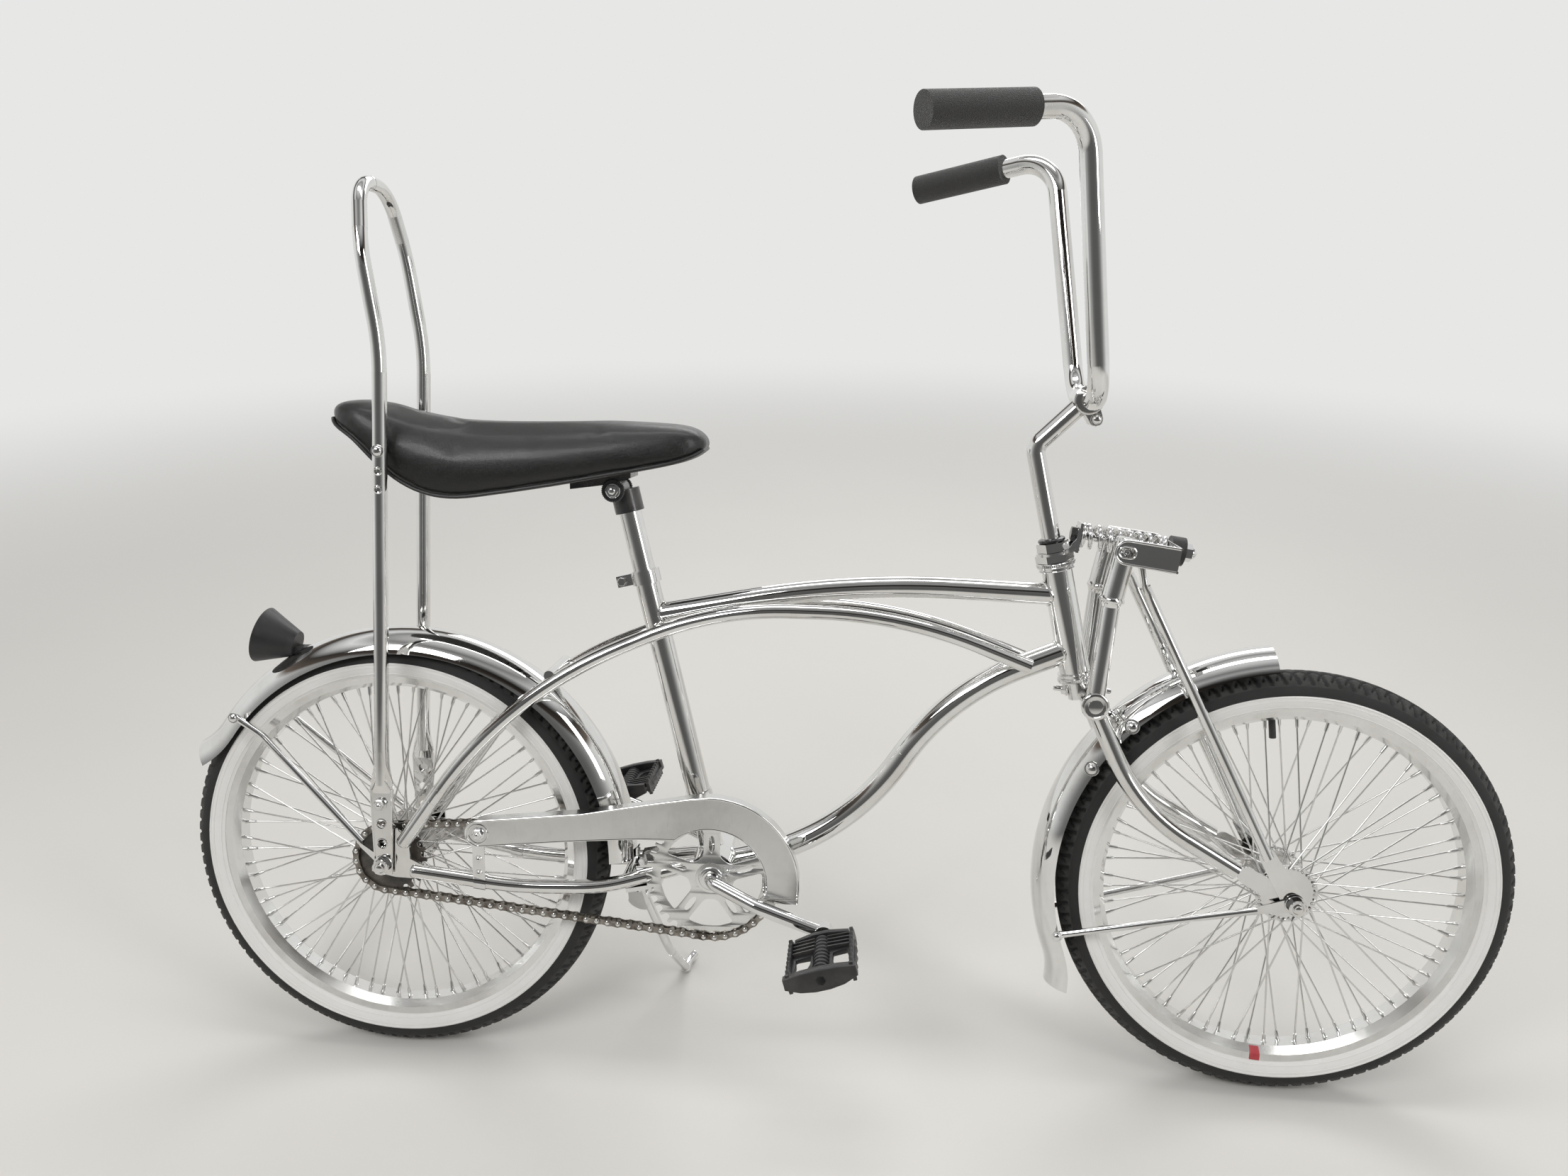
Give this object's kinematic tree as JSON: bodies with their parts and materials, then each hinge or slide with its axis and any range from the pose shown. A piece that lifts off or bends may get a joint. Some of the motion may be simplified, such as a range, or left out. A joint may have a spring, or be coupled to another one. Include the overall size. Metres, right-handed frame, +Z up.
{
  "type": "chopper bicycle",
  "caption": "Chrome lowrider chopper bicycle with curved twin-tube frame, springer fork, tall handlebar, banana seat and sissy bar, leaning on its side stand.",
  "frame": {"origin": "on the ground at the middle of the parked bicycle's bounding box", "axes": "+X forward along the wheels, +Y to the rider's left, the side the bicycle leans to, +Z up"},
  "size_m": [1.5456, 0.5867, 1.0964],
  "materials": {
    "chrome_frame": "mirror-bright plated steel tube",
    "chrome_fittings": "mirror-bright plated fittings",
    "chrome_fender": "mirror-bright plated sheet",
    "chrome_rim": "bright plated rim",
    "spoke_steel": "bright drawn wire",
    "white_rubber": "smooth white sidewall",
    "black_tyre": "matte black tread and shoulder",
    "black_rubber": "soft foam and rubber",
    "black_vinyl": "glossy stitched vinyl",
    "black_plastic": "moulded, slightly worn",
    "black_casting": "black painted casting",
    "chain_steel": "oiled dark steel",
    "red_lens": "prismatic red lens"
  },
  "bodies": {
    "frame": {"head_tube": "chrome_frame", "top_tube": "chrome_frame", "down_tube": "chrome_frame", "seat_tube": "chrome_frame", "twin_tubes": "chrome_frame", "chainstays": "chrome_frame", "bottom_bracket_shell": "chrome_frame", "rear_dropouts": "chrome_frame", "stay_bridges": "chrome_frame", "headset_cups": "chrome_fittings", "bearing_cups": "chrome_fittings", "seat_clamp": "chrome_fittings", "seat_post": "chrome_frame", "seat_bracket": "black_casting", "banana_seat": "black_vinyl", "sissy_bar": "chrome_frame", "sissy_bolts": "chrome_fittings", "rear_fender": "chrome_fender", "rear_fender_stays": "chrome_fittings", "reflector_housing": "black_plastic", "reflector_lens": "red_lens", "chain_guard": "chrome_fender", "guard_brackets": "chrome_fittings", "chain": "chain_steel", "rear_sprocket": "chain_steel", "rear_axle": "chrome_fittings", "brake_arm": "chrome_fittings", "kickstand_bracket": "chrome_fittings"},
    "fork_and_handlebar": {"fork": "chrome_frame", "fork_rockers": "chrome_fittings", "fork_struts": "chrome_frame", "spring": "chrome_fittings", "spring_yoke": "chrome_fittings", "spring_perch": "chrome_fittings", "spring_bolt": "chrome_fittings", "spring_bumper": "black_rubber", "headset_nuts": "chrome_fittings", "stem": "chrome_frame", "handlebar": "chrome_frame", "grips": "black_rubber", "front_fender": "chrome_fender", "front_fender_stays": "chrome_fittings", "front_axle": "chrome_fittings"},
    "front_wheel": {"front_tyre": "black_tyre", "front_whitewalls": "white_rubber", "front_rim": "chrome_rim", "front_spokes": "spoke_steel", "front_hub": "chrome_fittings", "front_valve": "black_rubber"},
    "rear_wheel": {"rear_tyre": "black_tyre", "rear_whitewalls": "white_rubber", "rear_rim": "chrome_rim", "rear_spokes": "spoke_steel", "rear_hub": "chrome_fittings", "rear_valve": "black_rubber"},
    "crankset": {"crank": "chrome_fittings", "chainring": "chrome_fittings"},
    "pedal_right": {"right_pedal": "black_plastic"},
    "pedal_left": {"left_pedal": "black_plastic"},
    "kickstand": {"kickstand_leg": "chrome_fittings"}
  },
  "joints": [
    {"name": "steering", "type": "hinge", "parent": "frame", "child": "fork_and_handlebar", "pos_m": [0.32804, -0.09557, 0.24893], "axis": [-0.2239, 0.186, 0.9567], "range_deg": [-60, 60]},
    {"name": "front_wheel_spin", "type": "hinge", "parent": "fork_and_handlebar", "child": "front_wheel", "pos_m": [0.51907, -0.10359, 0.25024], "axis": [0.0425, 0.9826, -0.181], "continuous": true},
    {"name": "rear_wheel_spin", "type": "hinge", "parent": "frame", "child": "rear_wheel", "pos_m": [-0.51876, -0.0954, 0.24981], "axis": [0, 0.9816, -0.1908], "continuous": true},
    {"name": "crank_spin", "type": "hinge", "parent": "frame", "child": "crankset", "pos_m": [-0.13777, -0.097, 0.24156], "axis": [0, 0.9816, -0.1908], "continuous": true},
    {"name": "right_pedal_spin", "type": "hinge", "parent": "crankset", "child": "pedal_right", "pos_m": [-0.00505, -0.24391, 0.22472], "axis": [0, 0.9816, -0.1908], "continuous": true},
    {"name": "left_pedal_spin", "type": "hinge", "parent": "crankset", "child": "pedal_left", "pos_m": [-0.27048, 0.04991, 0.2584], "axis": [0, 0.9816, -0.1908], "continuous": true},
    {"name": "kickstand_fold", "type": "hinge", "parent": "frame", "child": "kickstand", "pos_m": [-0.23083, -0.07822, 0.18096], "axis": [0.2906, 0.8533, 0.4329], "range_deg": [0, 95]}
  ]
}
